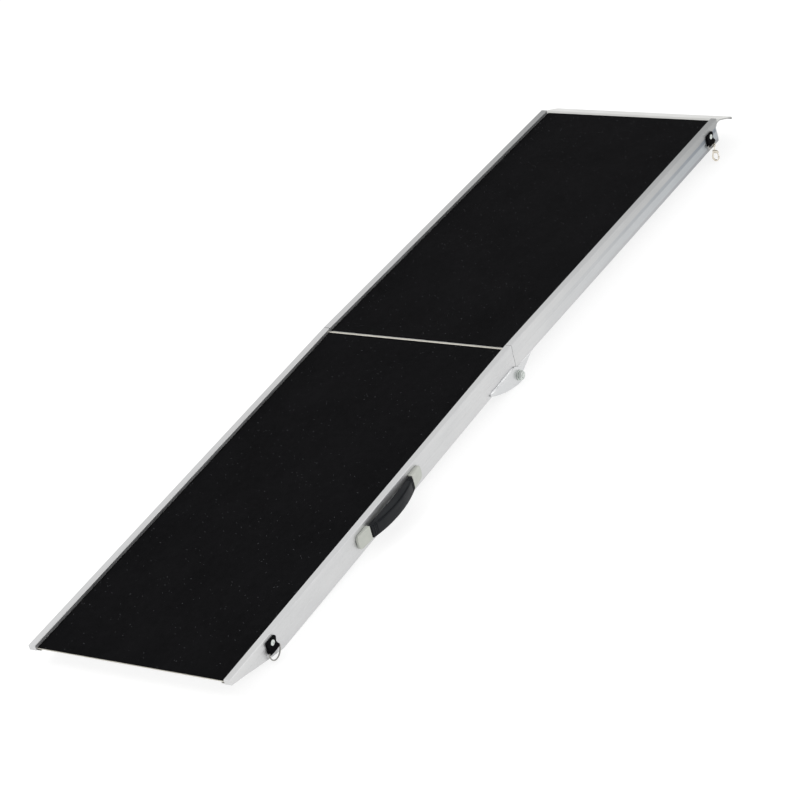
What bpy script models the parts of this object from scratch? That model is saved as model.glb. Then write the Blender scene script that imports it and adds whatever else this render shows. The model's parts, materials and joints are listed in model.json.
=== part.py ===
"""Portable wheelchair ramp that folds once across its middle.

Two panels hang on a pair of pivot bolts below their side rails and fold underside to underside.
Units are metres. X runs across the ramp with the carry handle on the +X side, Y runs along it
from the ground end (-Y) to the lip (+Y), and Z is up. The ramp lies open on the floor. It stands
on its hinge gussets and on the bottom corners of the lower rails, so its upper panel is level.
Each panel is modelled in its own frame: y is measured from the fold and z from the rail tops.
"""
import math

import bmesh
import bpy
from mathutils import Vector

MM = 0.001
GAP = 0.3 * MM                    # clearance between pieces that touch
PAST = 10 * MM                    # how far a cutter runs past what it cuts
CAMBER = math.radians(2.07)       # how far the open panels stay from one straight line
FOLD_GAP = 0.7 * MM               # rail end to the plane where the panels meet

# Overall sizes
WIDTH = 440 * MM                  # over the outer faces of the rails
HALF = WIDTH / 2
LOWER_LENGTH = 1062.5 * MM        # fold to the ground end of the lower rails
UPPER_RAIL = 986 * MM             # fold to the upper end of the rail beads
LIP_TIP = 1060.5 * MM             # fold to the tip of the lip

# Side rail extrusion, u measured inwards from the outer face
RAIL_HEIGHT = 52 * MM
BEAD_WIDTH = 14.7 * MM
BEAD_BOTTOM = 13.9 * MM
BEAD_WALL = 1.9 * MM
BEAD_CHAMFER = 1.3 * MM
BEAD_CORNER = 2.4 * MM            # chamfer of the hollow inside the bead
END_WALL = 6 * MM                 # closes the hollow at the ground end
WEB_INNER = 3.4 * MM
LEDGE_REACH = 24 * MM
LEDGE_TOP = 11.6 * MM
RECESS = 0.7 * MM                 # depth of the long groove in the outer face
RECESS_TOP = 17.8 * MM
RECESS_BOTTOM = 25.2 * MM
RECESS_BLEND = 1.8 * MM
FOOT_TOP = 43 * MM                # below it the outer face leans in a little
FOOT_INSET = 0.8 * MM
TAPER_START = 906.5 * MM          # where the underside of the lower rails starts to rise
TAPER_TIP_HEIGHT = 11 * MM

# Deck, tread and trims
TREAD_TOP = 7 * MM
TREAD_THICK = 1 * MM
DECK_THICK = 3 * MM
DECK_TOP = TREAD_TOP + TREAD_THICK + GAP
DECK_HALF = HALF - BEAD_WIDTH - 0.4 * MM
RIB_COUNT = 9
RIB_MARGIN = 16 * MM              # deck edge to the middle of the first rib
RIB_WIDTH = 2.5 * MM
RIB_DEPTH = 2.3 * MM
TRIM_WIDTH = 4.6 * MM
TRIM_THICK = 1.6 * MM
TRIM_LEG = 1.7 * MM
TRIM_CROWN = 0.5 * MM
FOLD_TRIM_EDGE = 1.6 * MM         # fold to the edge of the fold trim
NOSE_END = 1058.8 * MM            # fold to the tip of the chamfered bar at the ground end
NOSE_TIP = 1.3 * MM
NOSE_WIDTH = 12 * MM
LOWER_TREAD_END = 1057.2 * MM
UPPER_TREAD_END = 989 * MM
UPPER_DECK_END = 955 * MM

# Lip and end channel of the upper panel
LIP_THICK = 3 * MM
LIP_BEND = 1000 * MM
LIP_SLOPE = math.radians(21.5)
LIP_BEND_RADIUS = 20 * MM
LIP_ROLL_RADIUS = 4 * MM
LIP_ROLL_END = -20                # degrees from level where the rolled tip stops
CHANNEL_THICK = 3 * MM

# Cross members under the decks
CROSS_PLACES = (160 * MM, 410 * MM, 660 * MM, 885 * MM)
CROSS_WIDTH = 30 * MM
CROSS_DEPTH = 20 * MM
CROSS_WALL = 2.2 * MM

# Fold hinge
PIVOT_DROP = 68 * MM              # pivot below the rail tops
GUSSET_THICK = 3 * MM
UPPER_GUSSET_INSET = 0.9 * MM     # behind the rail's outer face
UPPER_EAR_RADIUS = 15.2 * MM      # turns clear of the feet of the lower rails
BOLT_RADIUS = 5 * MM
WASHER_RADIUS = 11 * MM
WASHER_THICK = 1.6 * MM
NUT_ACROSS_FLATS = 17 * MM
NUT_THICK = 6.5 * MM
BOLT_END = 13.5 * MM              # bolt tip beyond the rail's outer face
BOLT_HEAD_RADIUS = 8.2 * MM
BOLT_HEAD_THICK = 6 * MM
FASTENER_HOLE = 2.35 * MM         # radius of the rivet and screw holes
FASTENER_SHANK = 2 * MM

# Carry handle on the right rail of the lower panel
HANDLE_Y = -513.5 * MM
HANDLE_Z = -24 * MM
CAP_END = 119 * MM                # handle centre to the outer end of a cap
CAP_MOUTH = 80.5 * MM
CAP_HEIGHT = 29 * MM
CAP_LOW = 6 * MM
CAP_HIGH = 10.5 * MM
CAP_WALL = 1.5 * MM
CAP_ROUND = 9 * MM
SCREW_PLACE = 101 * MM
STRAP_THICK = 1.5 * MM
STRAP_HEIGHT = 20 * MM
STRAP_END = 113 * MM
STRAP_FLAT_RISE = 2.6 * MM
STRAP_BOW = 9 * MM
STRAP_BOW_HALF = 97 * MM
STRAP_SLOT = (5.5 * MM, 2.5 * MM)           # half its length and half its height
GRIP_HALF = 78.5 * MM
GRIP_HEIGHT = 29 * MM
GRIP_REACH = 25.4 * MM            # rail face to the outside of the grip, at its middle
GRIP_ARCH = 12.4 * MM             # how much nearer the rail the outer face is at the ends
GRIP_BACK_GAP = 5.2 * MM          # rail face to the back of the grip, at its middle
GRIP_BACK_DROP = 2.2 * MM
GRIP_SQUARENESS = 0.42            # exponent of the grip's section, 1 for an ellipse

# Latch: a strap tab with a wire ring on each panel, and a snap hook on the upper ring
TAB_Y = 936.5 * MM
TAB_WIDTH = 29.5 * MM
TAB_THICK = 5.2 * MM              # under the rivet's head
TAB_EDGE_THICK = 2.9 * MM         # at its top edge
TAB_OUT = 4.9 * MM                # ring bar outside the rail face
TAB_LOOP = 4 * MM
LOWER_RIVET_Z = -14.5 * MM
UPPER_RIVET_Z = -19.5 * MM
LOWER_BAR_Z = -28.5 * MM
UPPER_BAR_Z = -34.5 * MM
RIVET_RADIUS = 5.8 * MM
RING_WIRE = 1.3 * MM
RING_HALF = 17 * MM
RING_CORNER = 2.5 * MM
LOWER_RING_DEPTH = 21 * MM
UPPER_RING_DEPTH = 11 * MM
EYE_RADIUS = 4.3 * MM
EYE_HOLE = 2.6 * MM
EYE_DROP = 0.5 * MM               # eye centre below the ring wire it hangs on
HOOK_OFFSET = 9 * MM              # the hook hangs this far along the ring from its middle
HOOK_DROP = 6 * MM                # extra stem between the eye and the hook's swivel bar
HOOK_LENGTH = 37 * MM
HOOK_THICK = 4.6 * MM
HOOK_HALF = 8.5 * MM
HOOK_BAND = 2.7 * MM
HOOK_BAR_TOP = 6.6 * MM           # eye centre to the top of the hook's swivel bar
HOOK_BAR_BOTTOM = 10.9 * MM
STEM_RADIUS = 1.25 * MM
GATE_THICK = 2.4 * MM
GATE_PIN = (6 * MM, -12 * MM)     # from the eye's centre, in the plane of the hook
GATE_PIN_RADIUS = 0.65 * MM
GATE_NOSE = (6.9 * MM, -20.6 * MM)

# Where the fold line sits, so that the origin is the middle of the bounding box on the floor
FOLD_X = -(GRIP_REACH - BOLT_END) / 2
FOLD_Y = (LOWER_LENGTH * math.cos(CAMBER) - LIP_TIP) / 2
FOLD_Z = TAPER_START * math.sin(CAMBER) + RAIL_HEIGHT * math.cos(CAMBER)
EAR_RADIUS = FOLD_Z - PIVOT_DROP * math.cos(CAMBER / 2)     # the ears touch the floor too

ROUND_SIDES = 24
SMALL_SIDES = 12

MATERIALS = {
    "aluminium": ((0.74, 0.75, 0.75), 0.36, 1.0),
    "bright_aluminium": ((0.86, 0.86, 0.83), 0.28, 1.0),
    "grit": ((0.012, 0.012, 0.014), 0.85, 0.0),
    "zinc": ((0.66, 0.68, 0.66), 0.30, 1.0),
    "cap": ((0.60, 0.61, 0.57), 0.42, 0.9),
    "rubber": ((0.030, 0.032, 0.036), 0.55, 0.0),
    "webbing": ((0.010, 0.010, 0.012), 0.80, 0.0),
    "nickel": ((0.72, 0.69, 0.62), 0.22, 1.0),
    "spring_steel": ((0.45, 0.46, 0.47), 0.35, 1.0),
}


# ---------------------------------------------------------------- scene helpers

def clear_scene():
    for item in list(bpy.data.objects):
        bpy.data.objects.remove(item, do_unlink=True)


def material(name):
    found = bpy.data.materials.get(name)
    if found:
        return found
    colour, roughness, metallic = MATERIALS[name]
    made = bpy.data.materials.new(name)
    made.use_nodes = True
    shader = made.node_tree.nodes["Principled BSDF"]
    shader.inputs["Base Color"].default_value = (*colour, 1.0)
    shader.inputs["Roughness"].default_value = roughness
    shader.inputs["Metallic"].default_value = metallic
    made.diffuse_color = (*colour, 1.0)
    return made


def empty(name, place, tilt=0.0, parent=None):
    made = bpy.data.objects.new(name, None)
    bpy.context.scene.collection.objects.link(made)
    made.location = place
    made.rotation_euler = (tilt, 0.0, 0.0)
    made.parent = parent
    return made


def solid(name, shape, finish, parent, origin=(0, 0, 0), smooth=False):
    """Turn a bmesh in the parent's frame into an object whose origin is given in that frame."""
    bmesh.ops.recalc_face_normals(shape, faces=shape.faces)
    bmesh.ops.translate(shape, verts=shape.verts, vec=-Vector(origin))
    mesh = bpy.data.meshes.new(name)
    shape.to_mesh(mesh)
    shape.free()
    made = bpy.data.objects.new(name, mesh)
    bpy.context.scene.collection.objects.link(made)
    made.parent = parent
    made.location = origin
    mesh.materials.append(material(finish))
    if smooth:
        mesh.shade_smooth()
        mesh.set_sharp_from_angle(angle=math.radians(35))
    return made


def cutter(name, shape, parent, origin=(0, 0, 0)):
    made = solid(name, shape, "spring_steel", parent, origin)
    made.hide_render = True
    made.display_type = "WIRE"
    return made


def combine(target, other, operation):
    step = target.modifiers.new(other.name, "BOOLEAN")
    step.operation = operation
    step.object = other
    step.solver = "EXACT"


def cut(target, *others):
    for other in others:
        combine(target, other, "DIFFERENCE")


# ---------------------------------------------------------------- shape helpers

def prism(outline, axis, start, end):
    """Extrude a closed outline along X, Y or Z. The outline holds the other two coordinates."""
    def place(point, along):
        first, second = point
        if axis == "X":
            return (along, first, second)
        if axis == "Y":
            return (first, along, second)
        return (first, second, along)

    shape = bmesh.new()
    begin = start if callable(start) else (lambda point: start)
    finish = end if callable(end) else (lambda point: end)
    low = [shape.verts.new(place(point, begin(point))) for point in outline]
    high = [shape.verts.new(place(point, finish(point))) for point in outline]
    shape.faces.new(low)
    shape.faces.new(list(reversed(high)))
    for index in range(len(outline)):
        following = (index + 1) % len(outline)
        shape.faces.new((low[index], low[following], high[following], high[index]))
    return shape


def arc(centre, radius, begin_deg, end_deg, steps):
    points = []
    for index in range(steps + 1):
        angle = math.radians(begin_deg + (end_deg - begin_deg) * index / steps)
        points.append((centre[0] + radius * math.cos(angle), centre[1] + radius * math.sin(angle)))
    return points


def circle(centre, radius, sides=ROUND_SIDES):
    return arc(centre, radius, 0, 360, sides)[:-1]


def ribbon(path, thickness):
    """Outline of a bent strip of constant thickness whose middle follows the path."""
    left, right = [], []
    for index, point in enumerate(path):
        before = Vector(path[max(index - 1, 0)])
        after = Vector(path[min(index + 1, len(path) - 1)])
        here = Vector(point)
        along = (after - before).normalized()
        normal = Vector((-along.y, along.x))
        reach = thickness / 2
        if 0 < index < len(path) - 1:
            turn = (here - before).normalized().dot(normal.orthogonal().normalized())
            reach = reach / max(abs(turn), 0.5)
        left.append(tuple(here + normal * reach))
        right.append(tuple(here - normal * reach))
    return left + right[::-1]


def rod(along, centre, radius, start, end, sides=ROUND_SIDES):
    """A straight round bar along X, Y or Z."""
    return prism(circle(centre, radius, sides), along, start, end)


def turned(profile, centre, direction, sides=ROUND_SIDES):
    """Turn (distance along, radius) pairs about the line through centre; both ends are closed."""
    shape = bmesh.new()
    spin = Vector(direction).to_track_quat("Z", "Y").to_matrix()
    rings = []
    for along, radius in profile:
        ring = []
        for index in range(sides):
            angle = 2 * math.pi * index / sides
            local = Vector((radius * math.cos(angle), radius * math.sin(angle), along))
            ring.append(shape.verts.new(Vector(centre) + spin @ local))
        rings.append(ring)
    for lower, upper in zip(rings, rings[1:]):
        for index in range(sides):
            following = (index + 1) % sides
            shape.faces.new((lower[index], lower[following], upper[following], upper[index]))
    shape.faces.new(list(reversed(rings[0])))
    shape.faces.new(rings[-1])
    return shape


def washer(centre_yz, inner, outer, start, end):
    """A flat ring round an axis along X."""
    shape = bmesh.new()
    loops = []
    for radius in (outer, inner):
        for along in (start, end):
            points = circle(centre_yz, radius)
            loops.append([shape.verts.new((along, y, z)) for y, z in points])
    outer_low, outer_high, inner_low, inner_high = loops
    for first, second in ((outer_low, outer_high), (outer_high, inner_high),
                          (inner_high, inner_low), (inner_low, outer_low)):
        for index in range(ROUND_SIDES):
            following = (index + 1) % ROUND_SIDES
            shape.faces.new((first[index], first[following], second[following], second[index]))
    return shape


def closed_wire(path, radius, sides=8):
    """A round wire along a closed path of 3-D points that lies in a plane X = constant."""
    shape = bmesh.new()
    rings = []
    count = len(path)
    for index in range(count):
        here = Vector(path[index])
        along = (Vector(path[(index + 1) % count]) - Vector(path[index - 1])).normalized()
        across = Vector((1, 0, 0))
        inward = along.cross(across)
        ring = []
        for step in range(sides):
            angle = 2 * math.pi * step / sides
            offset = across * math.cos(angle) + inward * math.sin(angle)
            ring.append(shape.verts.new(here + offset * radius))
        rings.append(ring)
    for index in range(count):
        ring, following = rings[index], rings[(index + 1) % count]
        for step in range(sides):
            after = (step + 1) % sides
            shape.faces.new((ring[step], ring[after], following[after], following[step]))
    return shape


def fold_face(clearance):
    """Ends a profile on the plane where the two cambered panels meet."""
    def place(point):
        return clearance + abs(point[1]) * math.tan(CAMBER / 2)
    return place


# ---------------------------------------------------------------- side rails

def rail_outline(side):
    """Section of a rail: hollow bead on top, ledge for the deck and a web with a shallow recess."""
    section = [
        (0, -BEAD_CHAMFER), (BEAD_CHAMFER, 0), (BEAD_WIDTH - BEAD_CHAMFER, 0),
        (BEAD_WIDTH, -BEAD_CHAMFER), (BEAD_WIDTH, -LEDGE_TOP), (LEDGE_REACH, -LEDGE_TOP),
        (LEDGE_REACH, -BEAD_BOTTOM), (WEB_INNER, -BEAD_BOTTOM), (WEB_INNER, -RAIL_HEIGHT),
        (FOOT_INSET, -RAIL_HEIGHT), (0, -FOOT_TOP), (0, -RECESS_BOTTOM - RECESS_BLEND),
        (RECESS, -RECESS_BOTTOM), (RECESS, -RECESS_TOP), (0, -RECESS_TOP + RECESS_BLEND),
    ]
    return [(side * (HALF - u), z) for u, z in section]


def bead_hollow(side):
    low, high = BEAD_WALL, BEAD_WIDTH - BEAD_WALL
    top, bottom = -BEAD_WALL, -(BEAD_BOTTOM - BEAD_WALL)
    corner = BEAD_CORNER
    section = [
        (low + corner, top), (high - corner, top), (high, top - corner), (high, bottom + corner),
        (high - corner, bottom), (low + corner, bottom), (low, bottom + corner), (low, top - corner),
    ]
    return [(side * (HALF - u), z) for u, z in section]


def rail_hole(name, frame, y, z, depth):
    """Cutter for a fastener's hole in the outer face of the right rail."""
    shape = rod("X", (y, z), FASTENER_HOLE, HALF - depth, HALF + PAST, SMALL_SIDES)
    return cutter(name, shape, frame)


def across_rail(side):
    """From inside a rail's ledge to outside its outer face, as two values of x."""
    return sorted((side * (HALF - LEDGE_REACH - PAST), side * (HALF + PAST)))


def lower_rail(frame, side, tag):
    meet = fold_face(FOLD_GAP)
    shape = prism(rail_outline(side), "Y", -LOWER_LENGTH, lambda point: -meet(point))
    rail = solid(f"lower_rail_{tag}", shape, "aluminium", frame)
    hollow = prism(bead_hollow(side), "Y", -LOWER_LENGTH + END_WALL, PAST)
    slope = (RAIL_HEIGHT - TAPER_TIP_HEIGHT) / (LOWER_LENGTH - TAPER_START)
    bottom = -RAIL_HEIGHT - PAST
    wedge = [
        (-TAPER_START, -RAIL_HEIGHT), (-LOWER_LENGTH - PAST, -TAPER_TIP_HEIGHT + slope * PAST),
        (-LOWER_LENGTH - PAST, bottom), (-TAPER_START + PAST, bottom),
        (-TAPER_START + PAST, -RAIL_HEIGHT - slope * PAST),
    ]
    cut(rail, cutter(f"lower_bead_hollow_{tag}", hollow, frame),
        cutter(f"lower_taper_{tag}", prism(wedge, "X", *across_rail(side)), frame))
    if side > 0:
        cut(rail, rail_hole("tab_hole_lower", frame, -TAB_Y, LOWER_RIVET_Z, 2 * BEAD_WALL))
        for name, step in (("a", -1), ("b", 1)):
            place = HANDLE_Y + step * SCREW_PLACE
            cut(rail, rail_hole(f"strap_hole_{name}", frame, place, HANDLE_Z, 3 * WEB_INNER))
    return rail


def end_path():
    """Concave line that the upper rail ends and the end channel follow, as (y, z)."""
    return [(983.2 * MM, -12.4 * MM), (977.2 * MM, -16.5 * MM), (976.2 * MM, -22 * MM),
            (977.8 * MM, -31 * MM), (979.6 * MM, -41 * MM), (980.5 * MM, -RAIL_HEIGHT)]


def upper_rail(frame, side, tag):
    shape = prism(rail_outline(side), "Y", fold_face(FOLD_GAP), UPPER_RAIL)
    rail = solid(f"upper_rail_{tag}", shape, "aluminium", frame)
    hollow = prism(bead_hollow(side), "Y", -PAST, UPPER_RAIL + PAST)
    path = end_path()
    below, beyond = -RAIL_HEIGHT - PAST, UPPER_RAIL + PAST
    notch = path + [(path[-1][0], below), (beyond, below), (beyond, path[0][1])]
    cut(rail, cutter(f"upper_bead_hollow_{tag}", hollow, frame),
        cutter(f"upper_end_notch_{tag}", prism(notch, "X", *across_rail(side)), frame))
    if side > 0:
        cut(rail, rail_hole("tab_hole_upper", frame, TAB_Y, UPPER_RIVET_Z, 2 * WEB_INNER))
    return rail


# ---------------------------------------------------------------- decks, treads and trims

def deck_outline():
    """Section of the deck plank: a flat plate with ribs under it."""
    top, bottom = -DECK_TOP, -(DECK_TOP + DECK_THICK)
    points = [(-DECK_HALF, top), (-DECK_HALF, bottom)]
    first = -(DECK_HALF - RIB_MARGIN)
    for index in range(RIB_COUNT):
        middle = first * (1 - 2 * index / (RIB_COUNT - 1))
        left, right = middle - RIB_WIDTH / 2, middle + RIB_WIDTH / 2
        points += [(left, bottom), (left, bottom - RIB_DEPTH), (right, bottom - RIB_DEPTH),
                   (right, bottom)]
    return points + [(DECK_HALF, bottom), (DECK_HALF, top)]


def tread(name, frame, start, end):
    half = DECK_HALF - GAP
    low, high = -(TREAD_TOP + TREAD_THICK), -TREAD_TOP
    outline = [(-half, low), (half, low), (half, high), (-half, high)]
    return solid(name, prism(outline, "Y", start, end), "grit", frame)


def decks(lower, upper):
    behind_legs = TRIM_LEG + GAP
    solid("lower_deck", prism(deck_outline(), "Y", -(NOSE_END - NOSE_WIDTH - GAP),
                              -(FOLD_TRIM_EDGE + behind_legs)), "aluminium", lower)
    tread("lower_tread", lower, -LOWER_TREAD_END, -(FOLD_TRIM_EDGE + TRIM_WIDTH))
    solid("upper_deck", prism(deck_outline(), "Y", FOLD_TRIM_EDGE, UPPER_DECK_END - GAP),
          "aluminium", upper)
    tread("upper_tread", upper, FOLD_TRIM_EDGE, UPPER_TREAD_END)


def fold_trim(frame):
    """Angle trim at the fold: a crowned strip on top and a leg over the deck's end."""
    bottom, top = -(DECK_TOP - GAP), -(DECK_TOP - GAP - TRIM_THICK)
    edge, foot = -FOLD_TRIM_EDGE, -LEDGE_TOP + GAP
    far, leg, crown = edge - TRIM_WIDTH, edge - TRIM_LEG, TRIM_CROWN
    outline = [
        (edge, foot), (edge, top - crown), (edge - crown, top), (far + crown, top),
        (far, top - crown), (far, bottom), (leg, bottom), (leg, foot),
    ]
    shape = prism(outline, "X", -DECK_HALF, DECK_HALF)
    return solid("fold_trim", shape, "bright_aluminium", frame)


def ground_nose(frame):
    """Bar across the ground end, chamfered underneath to a thin tip."""
    top, bottom = -DECK_TOP, -(DECK_TOP + DECK_THICK)
    tip, back = -NOSE_END, -(NOSE_END - NOSE_WIDTH)
    chamfer_end = tip + 2 * (DECK_THICK - NOSE_TIP)
    outline = [(tip, top), (tip, top - NOSE_TIP), (chamfer_end, bottom), (back, bottom), (back, top)]
    shape = prism(outline, "X", -DECK_HALF, DECK_HALF)
    return solid("ground_nose", shape, "bright_aluminium", frame)


def lip(frame):
    """Bent transition plate: flat on the rail ledges, then sloping down to a rolled tip."""
    level = -(DECK_TOP + LIP_THICK / 2)
    roll_centre_run = LIP_TIP - LIP_ROLL_RADIUS - LIP_THICK / 2
    drop = (roll_centre_run - LIP_BEND) * math.tan(LIP_SLOPE)
    tangent = LIP_BEND_RADIUS * math.tan(LIP_SLOPE / 2)
    slope_deg = math.degrees(LIP_SLOPE)
    bend_centre = (LIP_BEND - tangent, level - LIP_BEND_RADIUS)
    bend = arc(bend_centre, LIP_BEND_RADIUS, 90, 90 - slope_deg, 4)
    tip_start = (roll_centre_run, level - drop)
    normal = Vector((math.sin(LIP_SLOPE), math.cos(LIP_SLOPE)))
    centre = Vector(tip_start) - normal * LIP_ROLL_RADIUS
    roll = arc(tuple(centre), LIP_ROLL_RADIUS, 90 - slope_deg, LIP_ROLL_END, 6)
    wide_start = UPPER_RAIL + 2 * GAP
    narrow = ribbon([(UPPER_DECK_END, level), (wide_start + 2 * MM, level)], LIP_THICK)
    wide = ribbon([(wide_start, level)] + bend + roll, LIP_THICK)
    body = solid("transition_lip", prism(wide, "X", -HALF, HALF), "bright_aluminium", frame)
    tongue = cutter("lip_tongue", prism(narrow, "X", -DECK_HALF, DECK_HALF), frame)
    combine(body, tongue, "UNION")
    return body


def end_channel(frame):
    """Sheet that closes the upper end between and behind the rails, under the lip."""
    behind = ribbon(end_path(), CHANNEL_THICK + 3 * GAP)
    path = behind[:len(end_path())]
    top = end_path()[0][1] - GAP
    outline = [(y, min(z, top)) for y, z in ribbon(path, CHANNEL_THICK)]
    half = HALF - 2 * GAP
    return solid("upper_end_channel", prism(outline, "X", -half, half), "aluminium", frame)


def cross_member(name, frame, middle):
    """Channel under the deck, open downwards, between the webs of the rails."""
    top = -(BEAD_BOTTOM + GAP)
    half, wall = CROSS_WIDTH / 2, CROSS_WALL
    outline = [
        (middle - half, top), (middle - half, top - CROSS_DEPTH),
        (middle - half + wall, top - CROSS_DEPTH), (middle - half + wall, top - wall),
        (middle + half - wall, top - wall), (middle + half - wall, top - CROSS_DEPTH),
        (middle + half, top - CROSS_DEPTH), (middle + half, top),
    ]
    reach = HALF - WEB_INNER - GAP
    return solid(name, prism(outline, "X", -reach, reach), "aluminium", frame)


# ---------------------------------------------------------------- fold hinge

def pivot_in_panel(panel_sign):
    """Pivot as (y, z) in a panel's own frame; both panels share it on the meeting plane."""
    half = CAMBER / 2
    return (panel_sign * PIVOT_DROP * math.sin(half), -PIVOT_DROP * math.cos(half))


def lower_gusset(frame, side, tag):
    """Plate lapped on the outside of the lower web, with an ear round the pivot."""
    pivot = pivot_in_panel(-1)
    belly = [(-111.5, -47.5), (-97, -55), (-81.5, -62), (-58.5, -71), (-36.5, -77.5), (-16, -82.6)]
    outline = [(-113 * MM, -43.5 * MM)] + [(y * MM, z * MM) for y, z in belly]
    outline += arc(pivot, EAR_RADIUS, -90, 62, 12)
    outline += [(-9 * MM, -43.5 * MM)]
    near, far = sorted((side * (HALF + GAP), side * (HALF + GAP + GUSSET_THICK)))
    plate = solid(f"lower_gusset_{tag}", prism(outline, "X", near, far), "aluminium", frame)
    hole = rod("X", pivot, BOLT_RADIUS + GAP, near - PAST, far + PAST)
    cut(plate, cutter(f"lower_gusset_bore_{tag}", hole, frame))
    return plate


def upper_gusset(frame, side, tag):
    """Plate butted against the foot of the upper rail, with an ear round the pivot."""
    pivot = pivot_in_panel(1)
    belly = [(20, -75.5), (27, -71.5), (37, -67.3), (47, -63), (54, -59), (64, -55.3)]
    top = -(RAIL_HEIGHT + GAP)
    outline = arc(pivot, UPPER_EAR_RADIUS, 80, 300, 14)
    outline += [(y * MM, z * MM) for y, z in belly]
    outline += [(76 * MM, top), (8 * MM, top)]
    outer_face = HALF - UPPER_GUSSET_INSET
    near, far = sorted((side * (outer_face - GUSSET_THICK), side * outer_face))
    plate = solid(f"upper_gusset_{tag}", prism(outline, "X", near, far), "aluminium", frame)
    hole = rod("X", pivot, BOLT_RADIUS + GAP, near - PAST, far + PAST)
    cut(plate, cutter(f"upper_gusset_bore_{tag}", hole, frame))
    return plate


def pivot_set(frame, side, tag):
    """Bolt with its head inside, spacer between the gussets, washers and a nut outside."""
    pivot = pivot_in_panel(-1)
    bore = BOLT_RADIUS + GAP
    outer_plate = HALF + GAP + GUSSET_THICK
    inner_plate = HALF - UPPER_GUSSET_INSET - GUSSET_THICK

    def ring(name, start, end, radius, finish="zinc"):
        low, high = sorted((side * start, side * end))
        solid(f"{name}_{tag}", washer(pivot, bore, radius, low, high), finish, frame, smooth=True)

    ring("pivot_spacer", HALF - UPPER_GUSSET_INSET + GAP, HALF, WASHER_RADIUS - 0.5 * MM)
    ring("outer_washer", outer_plate + GAP, outer_plate + GAP + WASHER_THICK, WASHER_RADIUS)
    ring("inner_washer", inner_plate - GAP - WASHER_THICK, inner_plate - GAP, WASHER_RADIUS)

    head_face = inner_plate - 2 * GAP - WASHER_THICK
    chamfer = 1 * MM
    profile = [
        (head_face - BOLT_HEAD_THICK, BOLT_HEAD_RADIUS - 2 * chamfer),
        (head_face - BOLT_HEAD_THICK + chamfer, BOLT_HEAD_RADIUS),
        (head_face, BOLT_HEAD_RADIUS), (head_face, BOLT_RADIUS),
        (HALF + BOLT_END - chamfer, BOLT_RADIUS), (HALF + BOLT_END, BOLT_RADIUS - chamfer),
    ]
    centre = (0, pivot[0], pivot[1])
    solid(f"pivot_bolt_{tag}", turned(profile, centre, (side, 0, 0)), "zinc", frame, smooth=True)

    nut_face = outer_plate + 2 * GAP + WASHER_THICK
    corner = NUT_ACROSS_FLATS / 2 / math.cos(math.pi / 6)
    hexagon = circle(pivot, corner, 6)
    low, high = sorted((side * nut_face, side * (nut_face + NUT_THICK)))
    nut = solid(f"pivot_nut_{tag}", prism(hexagon, "X", low, high), "zinc", frame)
    hole = rod("X", pivot, bore, low - PAST, high + PAST)
    cut(nut, cutter(f"pivot_nut_bore_{tag}", hole, frame))


# ---------------------------------------------------------------- carry handle

def strap_rise(y):
    """Height of the strap's middle above the rail face, y from the handle's centre."""
    share = min(abs(y) / STRAP_BOW_HALF, 1)
    return STRAP_FLAT_RISE + STRAP_BOW * (1 - share ** 2)


def bowed_strip(reach, thickness, height, steps=26):
    """Strip that follows the strap's bow, as a prism along Z in the lower panel's frame."""
    path = []
    for index in range(steps + 1):
        y = -reach + 2 * reach * index / steps
        path.append((HALF + strap_rise(y), HANDLE_Y + y))
    outline = ribbon(path, thickness)
    return prism(outline, "Z", HANDLE_Z - height / 2, HANDLE_Z + height / 2)


def handle_strap(frame):
    centre = (HALF, HANDLE_Y, HANDLE_Z)
    strap = solid("handle_strap", bowed_strip(STRAP_END, STRAP_THICK, STRAP_HEIGHT),
                  "spring_steel", frame, centre)
    for name, step in (("a", -1), ("b", 1)):
        middle = HANDLE_Y + step * SCREW_PLACE
        corners = ((-1, -1), (1, -1), (1, 1), (-1, 1))
        slot = [(middle + a * STRAP_SLOT[0], HANDLE_Z + b * STRAP_SLOT[1]) for a, b in corners]
        cut(strap, cutter(f"strap_slot_{name}", prism(slot, "X", HALF - PAST, HALF + PAST), frame))
    return strap


def handle_grip(frame):
    """Grip with a nearly straight back and an arched outer face, sleeved on the strap."""
    shape = bmesh.new()
    stations, sides, power = 18, 16, GRIP_SQUARENESS
    rings = []
    for index in range(stations + 1):
        y = -GRIP_HALF + 2 * GRIP_HALF * index / stations
        share = (y / GRIP_HALF) ** 2
        rise = strap_rise(y)
        outer = GRIP_REACH - GRIP_ARCH * share - rise
        inner = rise - GRIP_BACK_GAP + GRIP_BACK_DROP * share
        height = GRIP_HEIGHT / 2 - 0.7 * MM * share ** 2
        ring = []
        for step in range(sides):
            angle = 2 * math.pi * (step + 0.5) / sides
            across, up = math.cos(angle), math.sin(angle)
            depth = outer if across > 0 else inner
            x = HALF + rise + depth * math.copysign(abs(across) ** power, across)
            z = HANDLE_Z + height * math.copysign(abs(up) ** power, up)
            ring.append(shape.verts.new((x, HANDLE_Y + y, z)))
        rings.append(ring)
    for ring, following in zip(rings, rings[1:]):
        for step in range(sides):
            after = (step + 1) % sides
            shape.faces.new((ring[step], ring[after], following[after], following[step]))
    shape.faces.new(list(reversed(rings[0])))
    shape.faces.new(rings[-1])
    grip = solid("handle_grip", shape, "rubber", frame, (HALF, HANDLE_Y, HANDLE_Z), smooth=True)
    play = 2 * GAP
    slot = bowed_strip(GRIP_HALF + PAST, STRAP_THICK + play, STRAP_HEIGHT + play, 24)
    cut(grip, cutter("grip_slot", slot, frame))
    return grip


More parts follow.
